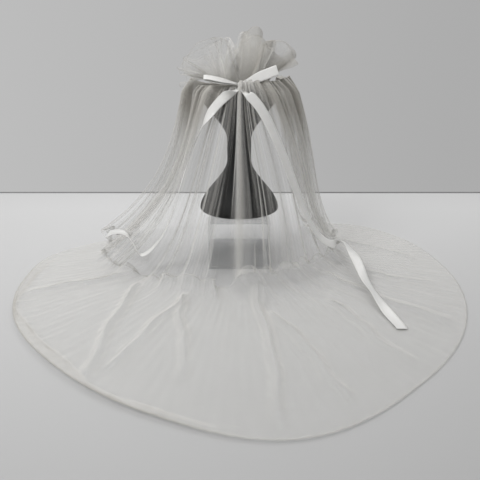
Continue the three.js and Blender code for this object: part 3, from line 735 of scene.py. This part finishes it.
def ribbon_strip(name, route, side, width, cup, nodes_replaced):
    """A thin strip along the route: nine points across, from side to side of its width, bowed by the cup, and
    closed as a wall of 0.5 mm."""
    ahead = np.gradient(route, axis=0)
    ahead /= np.linalg.norm(ahead, axis=1, keepdims=True)
    side = side - (side * ahead).sum(axis=1, keepdims=True) * ahead
    side /= np.linalg.norm(side, axis=1, keepdims=True)
    up = np.cross(ahead, side)
    across = np.linspace(-0.5, 0.5, 9)
    sheet = (
        route[:, None]
        + side[:, None] * (across * width[:, None])[..., None]
        + up[:, None] * ((0.25 - across**2) * 4 * cup[:, None])[..., None]
    )
    piece = cloth_piece(name, cloth_skins(sheet, 0.5), cloth_uv(sheet), np.ones(sheet.shape[:2]))
    piece.data.materials.clear()
    piece.data.materials.append(satin)
    piece.data.uv_layers["cloth"].name = "ribbon"
    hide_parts(nodes_replaced)
    return piece


def over_fall(bearing, share):
    """The place on the fall at a bearing and a share of its drop, moved out to clear the folds."""
    foot = read_table(skirt, "bearing", "foot", bearing)
    flare = read_table(skirt, "bearing", "flare", bearing)
    s = 1 - share
    radii = [102.8, 146 - 28 * flare, foot - 48 - 36 * flare, foot]
    heights = [rim_z, 236 + 26 * flare, 0.6 + 121.4 * flare, 0.6]
    weights = [s**3, 3 * s * s * share, 3 * s * share**2, share**3]
    slopes = [-3 * s * s, 3 * s * s - 6 * s * share, 6 * s * share - 3 * share**2, 3 * share**2]
    r, z = sum(a * w for a, w in zip(radii, weights)), sum(a * w for a, w in zip(heights, weights))
    dr, dz = sum(a * w for a, w in zip(radii, slopes)), sum(a * w for a, w in zip(heights, slopes))
    steep = math.hypot(dr, dz)
    clear = 12 * ease(share, 0, 0.08) + 5 * ease(share, 0.08, 0.2) + 8.9
    r, z = r - dz / steep * clear, z + dr / steep * clear
    return [r * math.sin(math.radians(bearing)), -r * math.cos(math.radians(bearing)), z]


# Each tail leaves the knot, follows the fall at these bearings and shares of its drop, and runs on through
# the end points. Its width turns by the twist, in degrees, at these shares of its length, and rocks by the
# roll, in radians. It keeps outside the fall's folds up to the share called floor, and above the train all
# the way.
tails = {
    "right": {
        "bearing": [12, 24, 34, 44, 53, 66, 78],
        "share": [0.02, 0.12, 0.25, 0.42, 0.6, 0.78, 0.93],
        "at": [0, 1],
        "twist": [0, 0],
        "roll": 0.32,
        "length": 0.93,
        "floor": 0.74,
        "end": [[262, -62, 4], [276, -130, 4], [287, -225, 5], [300, -315, 5], [328, -426, 4]],
    },
    "left": {
        "bearing": [-16, -30, -41, -47, -49, -52, -58],
        "share": [0.02, 0.09, 0.2, 0.36, 0.55, 0.72, 0.86],
        "at": [0, 0.13, 0.19, 0.45, 0.66, 0.76, 1],
        "twist": [0, 0, -50, -41, -35, 0, 0],
        "roll": 0.1,
        "length": 0.63,
        "floor": 0.9,
        "end": [[-250, -150, 72], [-276, -126, 96], [-304, -104, 92], [-332, -78, 74]],
    },
}
under = train_points[::2, ::3].reshape(-1, 3)
behind = fall_points.reshape(-1, 3)
behind_bearing, behind_reach = np.arctan2(behind[:, 0], -behind[:, 1]), np.hypot(behind[:, 0], behind[:, 1])
stations = 260
for hand, tail in tails.items():
    sign = 1 if hand == "right" else -1
    route = [(knot + [3.2 * sign, -2.6, -5.8]).tolist()]
    route += [over_fall(b, q) for b, q in zip(tail["bearing"], tail["share"])] + tail["end"]
    route = smooth_route(route, stations)
    share = np.linspace(0, 1, stations)
    angle = np.arctan2(route[:, 0], -route[:, 1])
    twist = np.radians(np.interp(share, tail["at"], tail["twist"]))
    roll = tail["roll"] * np.sin(share * 27 + 1) * ease(share, 0.06, 0.2) * ease(1 - share, 0, 0.1)
    side = np.stack([np.cos(angle + twist), np.sin(angle + twist), np.tan(roll)], axis=-1)
    apart = np.hypot(route[:, None, 0] - under[:, 0], route[:, None, 1] - under[:, 1])
    bridge = (under[:, 2] - 0.3 * np.maximum(apart - 20, 0)).max(axis=1) + 1.5
    raised = np.maximum(route[:, 2], bridge + 11 * np.abs(np.sin(roll)))
    smoothed = np.convolve(np.pad(raised, 14, mode="edge"), np.hanning(29) / 14, mode="valid")
    route[:, 2] = np.maximum(smoothed, bridge)
    bearing, reach = np.arctan2(route[:, 0], -route[:, 1]), np.hypot(route[:, 0], route[:, 1])
    far = np.hypot((behind_bearing - bearing[:, None]) * 150, behind[:, 2] - route[:, 2:])
    near = np.where(far < 13, behind_reach, 0).max(axis=1) + 1.5
    near = np.maximum(np.where(share > tail["floor"], 0, near), reach)
    kernel = np.hanning(29) / np.hanning(29).sum()
    cleared = np.convolve(np.pad(near, 14, mode="edge"), kernel, mode="valid")
    pushed = reach + ease(share, 0, 0.012) * (cleared - reach)
    route[:, 0], route[:, 1] = pushed * np.sin(bearing), -pushed * np.cos(bearing)
    width = 9 + (ribbon_width - 9) * ease(share, 0, 0.025)
    cup = 1.5 * np.sin(share * 19)
    strip = ribbon_strip(f"satin_tail_{hand}", route, side, width, cup, f"ribbon_tail_{hand}")

loops = {
    "left": {"tip": [-78, -116, 458], "side": [0, 0.93, 0.36], "gap": 5, "length": 0.155, "area": 0.0029},
    "right": {"tip": [84, -119, 474], "side": [-0.3, 0.25, 0.9], "gap": 5, "length": 0.168, "area": 0.0032},
}
loop_stations = 120
for hand, loop in loops.items():
    tip, side = np.array(loop["tip"], float), np.array(loop["side"], float)
    length = np.linalg.norm(tip - knot)
    ahead = (tip - knot) / length
    apart = np.cross(side, ahead)
    apart /= np.linalg.norm(apart)
    turn = np.linspace(0, np.pi, loop_stations)
    out = np.sin(turn) ** 0.8
    offset = loop["gap"] * np.cos(turn) * (0.18 + 0.82 * np.sin(turn))
    route = knot + np.outer(7.1 + (length - 7.1) * out, ahead) + np.outer(offset, apart)
    width = 9 + (ribbon_width - 9) * ease(out, 0, 0.55)
    sides = np.tile(side, (loop_stations, 1))
    strip = ribbon_strip(f"satin_loop_{hand}", route, sides, width, 0 * out, f"ribbon_loop_{hand}")

# The knot: a small creased egg of ribbon, wider than it is deep.
around, down = 48, 26
turn, rise = np.linspace(0, 2 * np.pi, around, endpoint=False), np.linspace(0.02, np.pi - 0.02, down)
turn, rise = np.meshgrid(turn, rise)
creases = 1 + 0.05 * np.sin(9 * turn + 2 * rise)
around_x, around_y = 7 * np.sin(rise) * np.cos(turn), 4.6 * np.sin(rise) * np.sin(turn)
points = np.stack([around_x * creases, around_y * creases, 5.4 * np.cos(rise)], axis=-1)
count = down * around
grid = np.arange(count).reshape(down, around)
wrapped = np.concatenate([grid, grid[:, :1]], axis=1)
quads = [wrapped[:-1, :-1], wrapped[1:, :-1], wrapped[1:, 1:], wrapped[:-1, 1:]]
quads = np.stack(quads, axis=-1).reshape(-1, 4)
ring = np.arange(0, around, 2)
above = np.stack([np.full(len(ring), count), ring, ring + 1, wrapped[0, ring + 2]], axis=-1)
below = [np.full(len(ring), count + 1), wrapped[-1, ring + 2], wrapped[-1, ring + 1], wrapped[-1, ring]]
below = np.stack(below, axis=-1)
points = np.concatenate([points.reshape(-1, 3), [[0, 0, 5.4], [0, 0, -5.4]]])
quads = np.concatenate([quads, above, below])
bow_knot = add_mesh("satin_knot", points + knot, quads, satin)
place = points[quads.reshape(-1)][:, [0, 2]] * 0.001
bow_knot.data.uv_layers.new(name="ribbon").data.foreach_set("uv", place.reshape(-1))
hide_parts("ribbon_knot")
